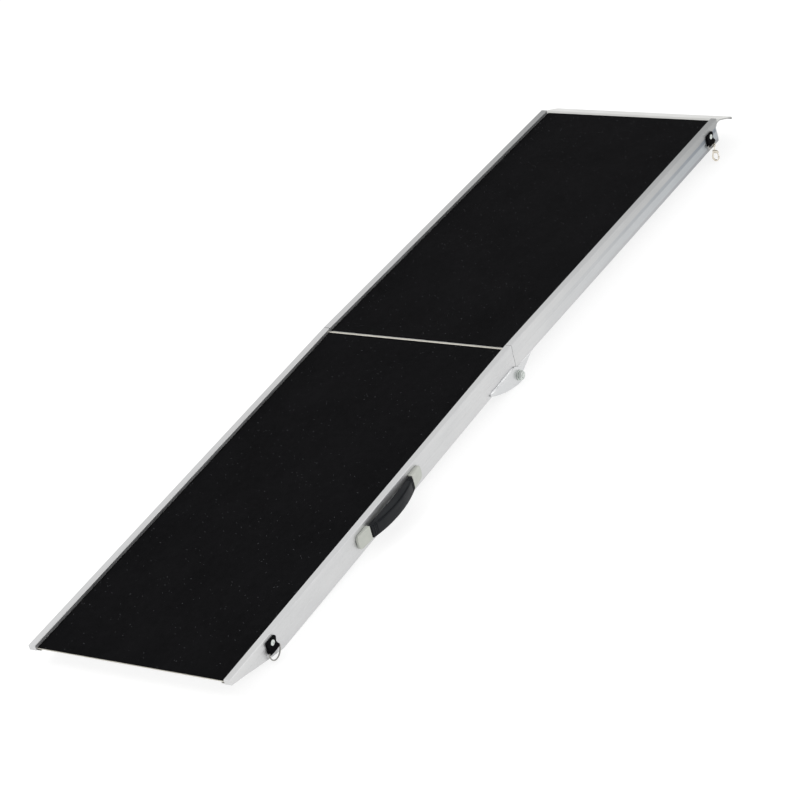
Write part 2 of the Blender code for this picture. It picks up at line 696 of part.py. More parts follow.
def handle_cap(frame, step, tag):
    """Wedge-shaped end cap, rounded at its far end, with a pocket for the strap's end."""
    far, mouth = HANDLE_Y + step * CAP_END, HANDLE_Y + step * CAP_MOUTH
    z_low, z_high = HANDLE_Z - CAP_HEIGHT / 2, HANDLE_Z + CAP_HEIGHT / 2
    base = HALF + GAP
    shape = bmesh.new()
    outline = [(mouth, z_low), (mouth, z_high)]
    corner_steps = 5
    for index in range(corner_steps + 1):
        angle = math.pi / 2 * index / corner_steps
        outline.append((far - step * CAP_ROUND * (1 - math.sin(angle)),
                        z_high - CAP_ROUND * (1 - math.cos(angle))))
    for index in range(corner_steps + 1):
        angle = math.pi / 2 * index / corner_steps
        outline.append((far - step * CAP_ROUND * (1 - math.cos(angle)),
                        z_low + CAP_ROUND * (1 - math.sin(angle))))

    def roof(y):
        return CAP_LOW + (CAP_HIGH - CAP_LOW) * abs(y - far) / (CAP_END - CAP_MOUTH)

    edge = 1.2 * MM
    middle_y, middle_z = (far + mouth) / 2, HANDLE_Z
    rings = []
    for height_of, inset in ((lambda y: 0, 0), (lambda y: roof(y) - edge, 0), (roof, edge)):
        ring = []
        for y, z in outline:
            inner_y = y - math.copysign(min(inset, abs(y - middle_y)), y - middle_y)
            inner_z = z - math.copysign(min(inset, abs(z - middle_z)), z - middle_z)
            ring.append(shape.verts.new((base + height_of(y), inner_y, inner_z)))
        rings.append(ring)
    for ring, following in zip(rings, rings[1:]):
        for index in range(len(outline)):
            after = (index + 1) % len(outline)
            shape.faces.new((ring[index], ring[after], following[after], following[index]))
    shape.faces.new(list(reversed(rings[0])))
    shape.faces.new(rings[-1])
    cap = solid(f"handle_cap_{tag}", shape, "cap", frame)

    deep, out = far - step * 2 * CAP_WALL, mouth - step * PAST
    pocket = [
        (HALF - PAST, deep), (HALF + CAP_LOW - CAP_WALL, deep),
        (HALF + CAP_HIGH, out), (HALF - PAST, out),
    ]
    room = STRAP_HEIGHT / 2 + CAP_WALL
    hollow = prism(pocket, "Z", HANDLE_Z - room, HANDLE_Z + room)
    cut(cap, cutter(f"cap_pocket_{tag}", hollow, frame))
    return cap


def strap_screw(frame, step, tag):
    """Shoulder screw through the strap's slot into the rail, hidden in the cap."""
    head_low = STRAP_FLAT_RISE + STRAP_THICK / 2 + 2 * GAP
    tip = -8 * MM
    profile = [(tip, FASTENER_SHANK - 0.5 * MM), (tip + 0.5 * MM, FASTENER_SHANK),
               (head_low, FASTENER_SHANK), (head_low, 4.4 * MM), (head_low + 1.2 * MM, 4 * MM),
               (head_low + 1.7 * MM, 2.6 * MM)]
    centre = (HALF, HANDLE_Y + step * SCREW_PLACE, HANDLE_Z)
    shape = turned(profile, centre, (1, 0, 0), SMALL_SIDES)
    return solid(f"strap_screw_{tag}", shape, "zinc", frame, smooth=True)


# ---------------------------------------------------------------- latch

def strap_tab(frame, tag, y, rivet_z, bar_z):
    """Webbing tab folded round the bar of its ring and riveted to the rail."""
    top = rivet_z + 7 * MM
    outline = [(HALF + GAP, top), (HALF + TAB_EDGE_THICK, top),
               (HALF + TAB_THICK, rivet_z + 3 * MM), (HALF + TAB_THICK + GAP, bar_z + 6.5 * MM)]
    outline += arc((HALF + TAB_OUT, bar_z), TAB_LOOP, 55, -130, 10)
    outline += [(HALF + GAP, bar_z - 1.5 * MM)]
    shape = prism(outline, "Y", y - TAB_WIDTH / 2, y + TAB_WIDTH / 2)
    tab = solid(f"{tag}_latch_tab", shape, "webbing", frame)
    bore = rod("Y", (HALF + TAB_OUT, bar_z), RING_WIRE + 1.5 * GAP,
               y - TAB_WIDTH, y + TAB_WIDTH, SMALL_SIDES)
    hole = rod("X", (y, rivet_z), FASTENER_HOLE, HALF - PAST, HALF + PAST, SMALL_SIDES)
    cut(tab, cutter(f"{tag}_tab_bore", bore, frame), cutter(f"{tag}_tab_hole", hole, frame))

    head = TAB_THICK + 2 * GAP
    profile = [(-2.5 * MM, FASTENER_SHANK), (head, FASTENER_SHANK), (head, RIVET_RADIUS),
               (head + 0.8 * MM, RIVET_RADIUS - 0.2 * MM), (head + 1.7 * MM, RIVET_RADIUS - 1.8 * MM),
               (head + 2.1 * MM, 1.4 * MM)]
    shape = turned(profile, (HALF, y, rivet_z), (1, 0, 0), 16)
    solid(f"{tag}_latch_rivet", shape, "zinc", frame, smooth=True)


def wire_ring(frame, tag, y, bar_z, depth):
    """D-shaped ring: a straight bar in the tab and a half-oval hanging below it."""
    flat = RING_HALF - RING_CORNER
    path = [(-flat, 0), (flat, 0)]
    path += arc((flat, -RING_CORNER), RING_CORNER, 90, 0, 3)[1:]
    steps = 16
    for index in range(1, steps):
        angle = math.pi * index / steps
        path.append((RING_HALF * math.cos(angle),
                     -RING_CORNER - (depth - RING_CORNER) * math.sin(angle)))
    path += arc((-flat, -RING_CORNER), RING_CORNER, 180, 90, 3)[:-1]
    wire = [(HALF + TAB_OUT, y + along, bar_z + down) for along, down in path]
    origin = (HALF + TAB_OUT, y, bar_z)
    return solid(f"{tag}_latch_ring", closed_wire(wire, RING_WIRE), "nickel", frame, origin,
                 smooth=True)


def hook_eye(frame, centre):
    """Flat eye on the ring's wire, with a headed swivel pin below it."""
    x, y, z = centre
    plate = GATE_THICK / 2
    eye = solid("hook_eye", prism(circle((x, z), EYE_RADIUS), "Y", y - plate, y + plate),
                "nickel", frame, (x, y, z + EYE_DROP), smooth=True)
    head = -(HOOK_DROP + HOOK_BAR_BOTTOM + 0.5 * MM)
    pin = [(head - 2 * MM, 1.4 * MM), (head - 1.6 * MM, 2.3 * MM), (head, 2.3 * MM),
           (head, STEM_RADIUS), (-EYE_RADIUS + 0.9 * MM, STEM_RADIUS)]
    stem = turned(pin, centre, (0, 0, 1), SMALL_SIDES)
    combine(eye, cutter("eye_stem", stem, frame), "UNION")
    hole = rod("Y", (x, z), EYE_HOLE, y - PAST, y + PAST, 16)
    cut(eye, cutter("eye_hole", hole, frame))
    return eye


def hook_loop_path():
    """Middle line of the hook's band from the swivel bar round to the nose, as (x, z)."""
    reach, low = HOOK_HALF - HOOK_BAND / 2, HOOK_LENGTH - EYE_RADIUS - HOOK_BAND / 2
    top = 12 * MM
    middle = (top + low) / 2 + 1.5 * MM
    path = [(-3.4 * MM, -9.2 * MM)]
    steps = 15
    for index in range(steps + 1):
        angle = math.radians(158 + (372 - 158) * index / steps)
        path.append((reach * math.cos(angle), -middle + (low - middle) * math.sin(angle)))
    return path


def gate_pin_rod(centre, radius, reach):
    """Round bar on the gate's axis, which runs along Y."""
    x, y, z = centre
    place = (x + GATE_PIN[0], z + GATE_PIN[1])
    return rod("Y", place, radius, y - reach, y + reach, SMALL_SIDES)


def hook_body(frame, centre):
    """Hook with a swivel bar on top, an open loop and a fork for the gate."""
    x, y, z = centre
    half = HOOK_THICK / 2
    band = ribbon(hook_loop_path(), HOOK_BAND)
    loop = prism([(x + u, z + v) for u, v in band], "Y", y - half, y + half)
    body = solid("snap_hook", loop, "nickel", frame, (x, y, z), smooth=True)
    bar = [(-5 * MM, -HOOK_BAR_TOP), (5.2 * MM, -HOOK_BAR_TOP), (7.6 * MM, -9.4 * MM),
           (7.6 * MM, -13 * MM), (4.4 * MM, -13 * MM), (3.8 * MM, -HOOK_BAR_BOTTOM),
           (-5 * MM, -HOOK_BAR_BOTTOM)]
    block = prism([(x + u, z + v) for u, v in bar], "Y", y - half, y + half)
    combine(body, cutter("hook_bar", block, frame), "UNION")
    swivel = rod("Z", (x, y), STEM_RADIUS + 0.4 * MM, z - HOOK_BAR_BOTTOM - 1 * MM, z, SMALL_SIDES)
    slot = [(4.1 * MM, -10.4 * MM), (10 * MM, -10.4 * MM), (10 * MM, -15 * MM), (4.1 * MM, -15 * MM)]
    width = GATE_THICK / 2 + GAP
    fork = prism([(x + u, z + v) for u, v in slot], "Y", y - width, y + width)
    pin = gate_pin_rod(centre, GATE_PIN_RADIUS + GAP, PAST)
    cut(body, cutter("hook_swivel_bore", swivel, frame), cutter("hook_fork", fork, frame),
        cutter("hook_pin_bore", pin, frame))
    return body


def hook_gate(frame, centre):
    """Spring gate from the fork to the nose, turning inwards on its pin."""
    x, y, z = centre
    u, v = GATE_PIN
    nose_u, nose_v = GATE_NOSE
    outline = arc((u, v), 1.45 * MM, 20, 160, 6)
    outline += [(nose_u - 1.2 * MM, nose_v), (nose_u + 0.9 * MM, nose_v)]
    width = GATE_THICK / 2
    shape = prism([(x + a, z + b) for a, b in outline], "Y", y - width, y + width)
    origin = (x + u, y, z + v)
    gate = solid("hook_gate", shape, "nickel", frame, origin, smooth=True)
    cut(gate, cutter("gate_bore", gate_pin_rod(centre, GATE_PIN_RADIUS + GAP, PAST), frame))
    pin = gate_pin_rod(centre, GATE_PIN_RADIUS, HOOK_THICK / 2 + GAP)
    solid("hook_gate_pin", pin, "zinc", frame, smooth=True)
    return gate


# ---------------------------------------------------------------- assembly

def build():
    clear_scene()
    place = (FOLD_X, FOLD_Y, FOLD_Z)
    lower = empty("lower_panel_frame", place, CAMBER)
    upper = empty("upper_panel_frame", place)
    for side, tag in ((-1, "left"), (1, "right")):
        lower_rail(lower, side, tag)
        upper_rail(upper, side, tag)
        lower_gusset(lower, side, tag)
        upper_gusset(upper, side, tag)
        pivot_set(lower, side, tag)
    decks(lower, upper)
    fold_trim(lower)
    ground_nose(lower)
    lip(upper)
    end_channel(upper)
    for index, distance in enumerate(CROSS_PLACES, start=1):
        cross_member(f"lower_cross_member_{index}", lower, -distance)
        cross_member(f"upper_cross_member_{index}", upper, distance)

    handle_strap(lower)
    handle_grip(lower)
    for step, tag in ((-1, "lower"), (1, "upper")):
        handle_cap(lower, step, tag)
        strap_screw(lower, step, tag)

    strap_tab(lower, "lower", -TAB_Y, LOWER_RIVET_Z, LOWER_BAR_Z)
    strap_tab(upper, "upper", TAB_Y, UPPER_RIVET_Z, UPPER_BAR_Z)
    wire_ring(lower, "lower", -TAB_Y, LOWER_BAR_Z, LOWER_RING_DEPTH)
    wire_ring(upper, "upper", TAB_Y, UPPER_BAR_Z, UPPER_RING_DEPTH)
    curve = math.sqrt(1 - (HOOK_OFFSET / RING_HALF) ** 2)
    wire_z = UPPER_BAR_Z - RING_CORNER - (UPPER_RING_DEPTH - RING_CORNER) * curve
    eye_centre = (HALF + TAB_OUT, TAB_Y + HOOK_OFFSET, wire_z - EYE_DROP)
    hook_centre = (eye_centre[0], eye_centre[1], eye_centre[2] - HOOK_DROP)
    hook_eye(upper, eye_centre)
    hook_body(upper, hook_centre)
    hook_gate(upper, hook_centre)


build()
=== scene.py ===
"""Looks of the folding wheelchair ramp: finishes, detailed pieces, floor, light and camera.

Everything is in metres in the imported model's frame. Pieces on a panel are made in that panel's
own coordinates: x from the ramp's middle, y from the fold and z from the tops of the rails.
"""

import json
import math
import random

import bmesh
import bpy
from mathutils import Matrix, Vector, noise

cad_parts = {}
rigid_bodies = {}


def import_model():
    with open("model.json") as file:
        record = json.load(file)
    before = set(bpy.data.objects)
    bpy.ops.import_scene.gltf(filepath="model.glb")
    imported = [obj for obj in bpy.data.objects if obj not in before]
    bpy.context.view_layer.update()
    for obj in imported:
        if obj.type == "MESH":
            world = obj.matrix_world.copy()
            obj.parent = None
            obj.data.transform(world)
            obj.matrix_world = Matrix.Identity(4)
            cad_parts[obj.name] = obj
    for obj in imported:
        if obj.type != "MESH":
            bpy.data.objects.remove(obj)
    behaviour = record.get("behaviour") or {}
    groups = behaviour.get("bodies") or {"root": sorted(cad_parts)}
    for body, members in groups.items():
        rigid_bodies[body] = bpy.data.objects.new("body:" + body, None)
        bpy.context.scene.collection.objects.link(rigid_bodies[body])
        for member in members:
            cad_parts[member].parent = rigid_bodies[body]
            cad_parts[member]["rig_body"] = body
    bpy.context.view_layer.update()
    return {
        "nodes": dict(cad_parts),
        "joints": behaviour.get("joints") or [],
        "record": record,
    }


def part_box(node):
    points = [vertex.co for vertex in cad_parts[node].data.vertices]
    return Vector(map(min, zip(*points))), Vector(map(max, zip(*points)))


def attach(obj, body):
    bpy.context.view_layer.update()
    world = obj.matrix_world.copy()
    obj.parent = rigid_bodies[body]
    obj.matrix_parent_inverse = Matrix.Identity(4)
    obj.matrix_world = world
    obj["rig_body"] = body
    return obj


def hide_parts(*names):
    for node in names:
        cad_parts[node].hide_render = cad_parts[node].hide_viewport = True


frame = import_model()

MM = 0.001

# Camera, which looks down the ramp from the ground end's right
CAMERA_PLACE = (2.9368, -4.0987, 2.7755)
CAMERA_AZIMUTH = math.radians(36.35)
CAMERA_ELEVATION = math.radians(29.24)
CAMERA_ROLL = math.radians(-13.42)
CAMERA_LENS = 128.7

# Painted reflection and shade up the side of the upper rails, cooler and darker than the plain rail
# and darkest where the groove faces down: from and to as shares of the rail's height
RAIL_HEIGHT = 52 * MM
RAIL_SHADE_BANDS = (
    (0.00, 0.16, (0.33, 0.34, 0.36)),
    (0.18, 0.49, (0.42, 0.445, 0.465)),
    (0.52, 0.66, (0.26, 0.285, 0.315)),
    (0.69, 1.00, (0.39, 0.395, 0.395)),
)
SHADE_BAND_RUN = 0.95                   # distance from the fold at which the tones are at full strength
SHADE_BAND_POWER = 1.35                 # how late along the rail they set in

# Carry grip, as distances from the rail's face
GRIP_ARCH = 12.4 * MM             # how much nearer the rail the outer face is at the ends
GRIP_BACK_GAP = 5.2 * MM          # rail face to the back of the grip, at its middle
GRIP_BACK_DROP = 2.2 * MM         # how much nearer the rail the back is at the ends
GRIP_GROOVE_DEPTH = 1.8 * MM
GRIP_GROOVE_WIDTH = 0.70 * MM
GRIP_CREASE_DEPTH = 1.7 * MM

# Latch webbing and fold hinge
TAB_REACH = 5.2 * MM              # rail's face to the outside of the webbing
BOLT_RADIUS = 5 * MM

# Weld beads: radius, and length of one puddle
LOWER_GUSSET_BEAD = (2.8 * MM, 7.5 * MM)
UPPER_GUSSET_BEAD = (1.2 * MM, 7.0 * MM)
CROSS_MEMBER_BEAD = (1.5 * MM, 3.4 * MM)

# Studio
FLOOR_REACH = 30.0
FLOOR_GLOW = 0.76
SKY_STRENGTH = 0.85

SLOT_OF = {part["node"]: part["material_slot"] for part in frame["record"]["subparts"]}
JOINTS = {joint["name"]: joint for joint in frame["joints"]}


# ---------------------------------------------------------------- panels

class Panel:
    """One panel's own coordinates, and where they are in the frame."""

    def __init__(self, body, origin, tilt):
        self.body = body
        self.matrix = Matrix.Translation(origin) @ Matrix.Rotation(tilt, 4, "X")
        self.inverse = self.matrix.inverted()

    def box(self, node):
        """Lowest and highest corners of a CAD node in the panel's coordinates."""
        points = [self.inverse @ vert.co for vert in frame["nodes"][node].data.vertices]
        low = Vector([min(point[axis] for point in points) for axis in range(3)])
        high = Vector([max(point[axis] for point in points) for axis in range(3)])
        return low, high


def make_panels():
    left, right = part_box("upper_rail_left"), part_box("upper_rail_right")
    half_gap = 0.7 * MM
    origin = ((left[0].x + right[1].x) / 2, right[0].y - half_gap, right[1].z)
    along = JOINTS["handle_play"]["axis"]
    tilt = math.atan2(along[2], along[1])
    return Panel("lower_panel", origin, tilt), Panel("upper_panel", origin, 0.0)


LOWER, UPPER = make_panels()
PANELS = (("lower", LOWER), ("upper", UPPER))
SIDES = ((-1, "left"), (1, "right"))
HALF = LOWER.box("lower_rail_right")[1].x


# ---------------------------------------------------------------- finishes

class Finish:
    """A material under construction: a node tree round one Principled shader."""

    def __init__(self, name, metallic, specular=0.5):
        self.material = bpy.data.materials.new(name)
        self.material.use_nodes = True
        self.tree = self.material.node_tree
        self.shader = self.tree.nodes["Principled BSDF"]
        self.shader.inputs["Metallic"].default_value = metallic
        self.shader.inputs["Specular IOR Level"].default_value = specular
        self.place = self.tree.nodes.new("ShaderNodeTexCoord").outputs["Object"]
        self.last_bump = None

    def node(self, kind, settings=None, **inputs):
        made = self.tree.nodes.new(kind)
        for name, value in (settings or {}).items():
            setattr(made, name, value)
        for name, value in inputs.items():
            socket = made.inputs[name.replace("_", " ")]
            if isinstance(value, bpy.types.NodeSocket):
                self.tree.links.new(value, socket)
            else:
                socket.default_value = value
        return made

    def stretched(self, per_metre):
        """Object coordinates scaled to a number of features per metre along x, y and z."""
        return self.node("ShaderNodeMapping", Vector=self.place, Scale=per_metre).outputs["Vector"]

    def noise(self, per_metre, detail=3.0, roughness=0.55):
        made = self.node("ShaderNodeTexNoise", Vector=self.stretched(per_metre), Scale=1.0,
                         Detail=detail, Roughness=roughness)
        return made.outputs["Fac"]

    def remap(self, value, low, high, to_low, to_high):
        made = self.node("ShaderNodeMapRange", Value=value)
        for socket, number in zip(made.inputs[1:5], (low, high, to_low, to_high)):
            socket.default_value = number
        return made.outputs["Result"]

    def math(self, operation, first, second=0.0):
        made = self.node("ShaderNodeMath", {"operation": operation})
        for socket, value in zip(made.inputs, (first, second)):
            if isinstance(value, bpy.types.NodeSocket):
                self.tree.links.new(value, socket)
            else:
                socket.default_value = value
        return made.outputs["Value"]

    def mix(self, share, first, second):
        """Colour between first and second, each a colour or an earlier output."""
        made = self.node("ShaderNodeMix", {"data_type": "RGBA"})
        for socket, value in zip((made.inputs[0], made.inputs[6], made.inputs[7]),
                                 (share, first, second)):
            if isinstance(value, bpy.types.NodeSocket):
                self.tree.links.new(value, socket)
            else:
                socket.default_value = (*value, 1.0) if isinstance(value, tuple) else value
        return made.outputs[2]

    def colour(self, value):
        self.tree.links.new(value, self.shader.inputs["Base Color"])

    def rough(self, value):
        self.tree.links.new(value, self.shader.inputs["Roughness"])

    def bump(self, height, depth):
        """Relief of a height from 0 to 1, which is depth metres deep, on top of earlier relief."""
        made = self.node("ShaderNodeBump", Height=height, Distance=depth, Strength=1.0)
        if self.last_bump:
            self.tree.links.new(self.last_bump, made.inputs["Normal"])
        self.last_bump = made.outputs["Normal"]
        self.tree.links.new(self.last_bump, self.shader.inputs["Normal"])


def metal(name, dark, light, roughness, grain, grain_depth):
    """Metal with streaks or grain, larger clouding and uneven gloss."""
    finish = Finish(name, metallic=1.0)
    streaks = finish.noise(grain, detail=4.0)
    clouds = finish.noise((9.0, 5.0, 14.0), detail=2.0)
    share = finish.math("ADD", finish.math("MULTIPLY", streaks, 0.45),
                        finish.math("MULTIPLY", clouds, 0.55))
    finish.colour(finish.mix(finish.remap(share, 0.3, 0.7, 0.0, 1.0), dark, light))
    spread = 0.22 * roughness
    finish.rough(finish.remap(share, 0.35, 0.65, roughness + spread, roughness - spread))
    finish.bump(streaks, grain_depth)
    return finish


def rail_finish():
    """Satin extrusion: die lines along the rail and light handling scratches."""
    finish = metal("rail_aluminium", (0.635, 0.64, 0.646), (0.66, 0.66, 0.658), 0.52,
                   (900.0, 2.5, 900.0), 0.012 * MM)
    scratches = finish.noise((260.0, 34.0, 130.0), detail=6.0, roughness=0.7)
    finish.bump(finish.remap(scratches, 0.60, 0.72, 0.0, 1.0), 0.008 * MM)
    return finish


def upper_rail_painted_shade_finish():
    """The same extrusion, with painted reflection and shade: cooler, darker bands up the side that
    deepen towards the lip.
    """
    finish = rail_finish()
    finish.material.name = "upper_rail_painted_shade"
    plain = finish.shader.inputs["Base Color"].links[0].from_socket
    place = finish.node("ShaderNodeSeparateXYZ", Vector=finish.place)
    top = UPPER.matrix.translation.z
    height = finish.remap(place.outputs["Z"], top - RAIL_HEIGHT, top, 0.0, 1.0)
    # painted reflection and shade: a darker tone for each band, darkest in the downward-facing
    # groove
    bands = finish.node("ShaderNodeValToRGB", Fac=height)
    ramp = bands.color_ramp
    while len(ramp.elements) < 2 * len(RAIL_SHADE_BANDS):
        ramp.elements.new(0.5)
    stops = []
    for start, end, tone in RAIL_SHADE_BANDS:
        stops += [(start, tone), (end, tone)]
    for element, (position, tone) in zip(ramp.elements, stops):
        element.position = position
        element.color = (*tone, 1.0)
    # the painted shade sets in from the fold and reaches full strength towards the lip
    run = finish.remap(place.outputs["Y"], 0.0, SHADE_BAND_RUN, 0.0, 1.0)
    share = finish.math("POWER", run, SHADE_BAND_POWER)
    finish.colour(finish.mix(share, plain, bands.outputs["Color"]))
    return finish


def sheet_finish():
    """Mill-finish plate with a fine rolled grain."""
    return metal("sheet_aluminium", (0.61, 0.62, 0.635), (0.69, 0.695, 0.695), 0.34,
                 (70.0, 900.0, 900.0), 0.02 * MM).material


def bright_finish():
    """Bright plate and trims, brushed across the ramp, with painted shade that darkens their
    downward-facing undersides.
    """
    finish = metal("bright_aluminium", (0.66, 0.66, 0.64), (0.73, 0.73, 0.71), 0.36,
                   (14.0, 1100.0, 1100.0), 0.012 * MM)
    plain = finish.shader.inputs["Base Color"].links[0].from_socket
    # painted shade: faces that turn downwards are mixed towards dark grey
    facing = finish.node("ShaderNodeNewGeometry").outputs["Normal"]
    upward = finish.node("ShaderNodeSeparateXYZ", Vector=facing).outputs["Z"]
    share = finish.remap(upward, -0.25, 0.35, 0.0, 1.0)
    finish.colour(finish.mix(share, (0.16, 0.165, 0.17), plain))
    return finish.material


def trim_finish():
    """Thin edge strips, warmer than the plate."""
    return metal("trim_aluminium", (0.50, 0.48, 0.43), (0.62, 0.60, 0.54), 0.36,
                 (14.0, 1100.0, 1100.0), 0.012 * MM).material


def weld_finish():
    finish = metal("weld", (0.66, 0.67, 0.68), (0.94, 0.94, 0.95), 0.22,
                   (230.0, 230.0, 230.0), 0.10 * MM)
    return finish.material


def zinc_finish():
    """Zinc plating: faint grey-green spangle."""
    finish = metal("zinc", (0.52, 0.56, 0.54), (0.70, 0.73, 0.70), 0.27,
                   (260.0, 260.0, 260.0), 0.015 * MM)
    return finish.material


def ring_finish():
    """The plating of the rings, duller and greyer than that of the hook."""
    finish = metal("ring_nickel", (0.24, 0.235, 0.225), (0.46, 0.45, 0.42), 0.26,
                   (300.0, 300.0, 300.0), 0.01 * MM)
    return finish.material


def nickel_finish():
    finish = metal("nickel", (0.62, 0.56, 0.46), (0.84, 0.79, 0.70), 0.20,
                   (300.0, 300.0, 300.0), 0.01 * MM)
    return finish.material


def spring_finish():
    finish = metal("spring_steel", (0.36, 0.37, 0.39), (0.52, 0.53, 0.54), 0.34,
                   (900.0, 30.0, 900.0), 0.01 * MM)
    return finish.material


def cap_finish():
    """Satin die-cast end caps: cream-grey, with a faint orange-peel skin."""
    finish = Finish("cap", metallic=0.35, specular=0.5)
    clouds = finish.noise((60.0, 60.0, 60.0), detail=3.0)
    finish.colour(finish.mix(clouds, (0.43, 0.45, 0.41), (0.52, 0.53, 0.485)))
    finish.rough(finish.remap(clouds, 0.3, 0.7, 0.42, 0.32))
    finish.bump(finish.noise((700.0, 700.0, 700.0), detail=2.0), 0.02 * MM)
    return finish.material


def rubber_finish():
    """Moulded grip: charcoal, with a fine leather-like grain."""
    finish = Finish("rubber", metallic=0.0, specular=0.14)
    clouds = finish.noise((40.0, 25.0, 40.0), detail=3.0)
    finish.colour(finish.mix(clouds, (0.006, 0.0070, 0.0085), (0.012, 0.0135, 0.0160)))
    finish.rough(finish.remap(clouds, 0.3, 0.7, 0.60, 0.46))
    cells = finish.node("ShaderNodeTexVoronoi", Vector=finish.stretched((1300.0,) * 3), Scale=1.0)
    finish.bump(cells.outputs["Distance"], 0.035 * MM)
    return finish.material


def webbing_finish():
    """Black woven strap: ribs across the strap and a diagonal twill in the threads."""
    finish = Finish("webbing", metallic=0.0, specular=0.05)
    weave = finish.node("ShaderNodeTexWave", {"bands_direction": "Z"},
                        Vector=finish.place, Scale=210.0, Distortion=0.6, Detail=1.0)
    twill = finish.node("ShaderNodeTexWave", {"bands_direction": "DIAGONAL"},
                        Vector=finish.place, Scale=330.0, Distortion=0.4, Detail=1.0)
    threads = finish.math("MULTIPLY", weave.outputs["Fac"], twill.outputs["Fac"])
    fuzz = finish.noise((1500.0,) * 3, detail=3.0)
    shade = finish.math("MULTIPLY", threads, fuzz)
    finish.colour(finish.mix(shade, (0.0025, 0.0025, 0.003), (0.010, 0.010, 0.012)))
    finish.rough(finish.remap(fuzz, 0.3, 0.7, 0.9, 0.7))
    finish.bump(threads, 0.18 * MM)
    return finish.material


def grit_finish():
    """Anti-slip sheet: black mineral grains, a few of which glint."""
    finish = Finish("grit", metallic=0.0, specular=0.04)
    grains = finish.node("ShaderNodeTexVoronoi", Vector=finish.stretched((1500.0,) * 3), Scale=1.0)
    glints = finish.node("ShaderNodeTexVoronoi", Vector=finish.stretched((620.0,) * 3), Scale=1.0)
    chosen = finish.node("ShaderNodeSeparateColor", Color=glints.outputs["Color"])
    rare = finish.math("GREATER_THAN", chosen.outputs["Red"], 0.994)
    small = finish.math("LESS_THAN", glints.outputs["Distance"], 0.36)
    bright = finish.math("MULTIPLY", finish.math("MULTIPLY", rare, small),
                         finish.remap(chosen.outputs["Green"], 0.0, 1.0, 0.15, 1.0))
    patches = finish.noise((11.0, 7.0, 11.0), detail=4.0)
    wear = finish.noise((95.0, 60.0, 95.0), detail=5.0)
    share = finish.math("ADD", finish.math("MULTIPLY", patches, 0.5),
                        finish.math("MULTIPLY", wear, 0.5))
    base = finish.mix(finish.remap(share, 0.35, 0.65, 0.0, 1.0),
                      (0.0026, 0.0027, 0.0031), (0.0062, 0.0062, 0.0070))
    shaded = finish.mix(finish.remap(grains.outputs["Distance"], 0.1, 0.6, 0.0, 0.5),
                        base, (0.0020, 0.0020, 0.0024))
    finish.colour(finish.mix(bright, shaded, (0.20, 0.205, 0.22)))
    finish.rough(finish.remap(bright, 0.0, 1.0, 0.88, 0.35))
    finish.bump(grains.outputs["Distance"], 0.25 * MM)
    return finish.material


FINISHES = {
    "rail": rail_finish().material,
    "upper_rail": upper_rail_painted_shade_finish().material,
    "aluminium": sheet_finish(),
    "bright_aluminium": bright_finish(),
    "trim": trim_finish(),
    "weld": weld_finish(),
    "zinc": zinc_finish(),
    "nickel": nickel_finish(),
    "ring": ring_finish(),
    "spring_steel": spring_finish(),
    "cap": cap_finish(),
    "rubber": rubber_finish(),
    "webbing": webbing_finish(),
    "grit": grit_finish(),
}


def carry_over_finishes():
    """Every CAD node that still shows takes the procedural finish of its slot."""
    for name, item in frame["nodes"].items():
        item.data.materials.clear()
        item.data.materials.append(FINISHES[SLOT_OF[name]])


# ---------------------------------------------------------------- making pieces

def bake_modifiers(item):
    """Replace an object's mesh by the mesh that its modifiers give."""
    bpy.context.view_layer.update()
    graph = bpy.context.evaluated_depsgraph_get()
    mesh = bpy.data.meshes.new_from_object(item.evaluated_get(graph))
    item.modifiers.clear()
    item.data = mesh


def object_from(name, shape, panel=None):
    """Turn a bmesh into an object; a panel's coordinates become the frame's."""
    bmesh.ops.recalc_face_normals(shape, faces=shape.faces)
    mesh = bpy.data.meshes.new(name)
    shape.to_mesh(mesh)
    shape.free()
    if panel:
        mesh.transform(panel.matrix)
    made = bpy.data.objects.new(name, mesh)
    bpy.context.scene.collection.objects.link(made)
    return made


def round_edges(item, width, segments=3, angle=30):
    """Round the edges sharper than an angle and keep the flat faces flat in the shading."""
    bevel = item.modifiers.new("edges", "BEVEL")
    bevel.width = width
    bevel.segments = segments
    bevel.limit_method = "ANGLE"
    bevel.angle_limit = math.radians(angle)
    item.data.shade_smooth()
    weigh = item.modifiers.new("shading", "WEIGHTED_NORMAL")
    weigh.keep_sharp = True
    bake_modifiers(item)


def finished(item, body, slot, finish=None, replaces=()):
    """Give a piece its finish, that of its slot unless another is named, let it ride on its body
    and stand for its CAD nodes.
    """
    item.data.materials.clear()
    item.data.materials.append(FINISHES[finish or slot])
    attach(item, body)
    if replaces:
        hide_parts(*replaces)
    return item


def smooth(item, angle=40):
    item.data.shade_smooth()
    item.data.set_sharp_from_angle(angle=math.radians(angle))
    return item


def refined(node, width, finish=None, segments=3, angle=30):
    """A copy of a CAD node with its triangles merged and its edges rounded."""
    shape = bmesh.new()
    shape.from_mesh(frame["nodes"][node].data)
    bmesh.ops.remove_doubles(shape, verts=shape.verts, dist=1e-6)
    nearly_flat = math.radians(0.8)
    bmesh.ops.dissolve_limit(shape, angle_limit=nearly_flat, verts=shape.verts, edges=shape.edges)
    item = object_from(f"{node}_finished", shape)
    round_edges(item, width, segments, angle)
    body = frame["nodes"][node]["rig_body"]
    return finished(item, body, SLOT_OF[node], finish, [node])


def arc(centre, radius, begin_deg, end_deg, steps):
    points = []
    for index in range(steps + 1):
        angle = math.radians(begin_deg + (end_deg - begin_deg) * index / steps)
        points.append((centre[0] + radius * math.cos(angle), centre[1] + radius * math.sin(angle)))
    return points


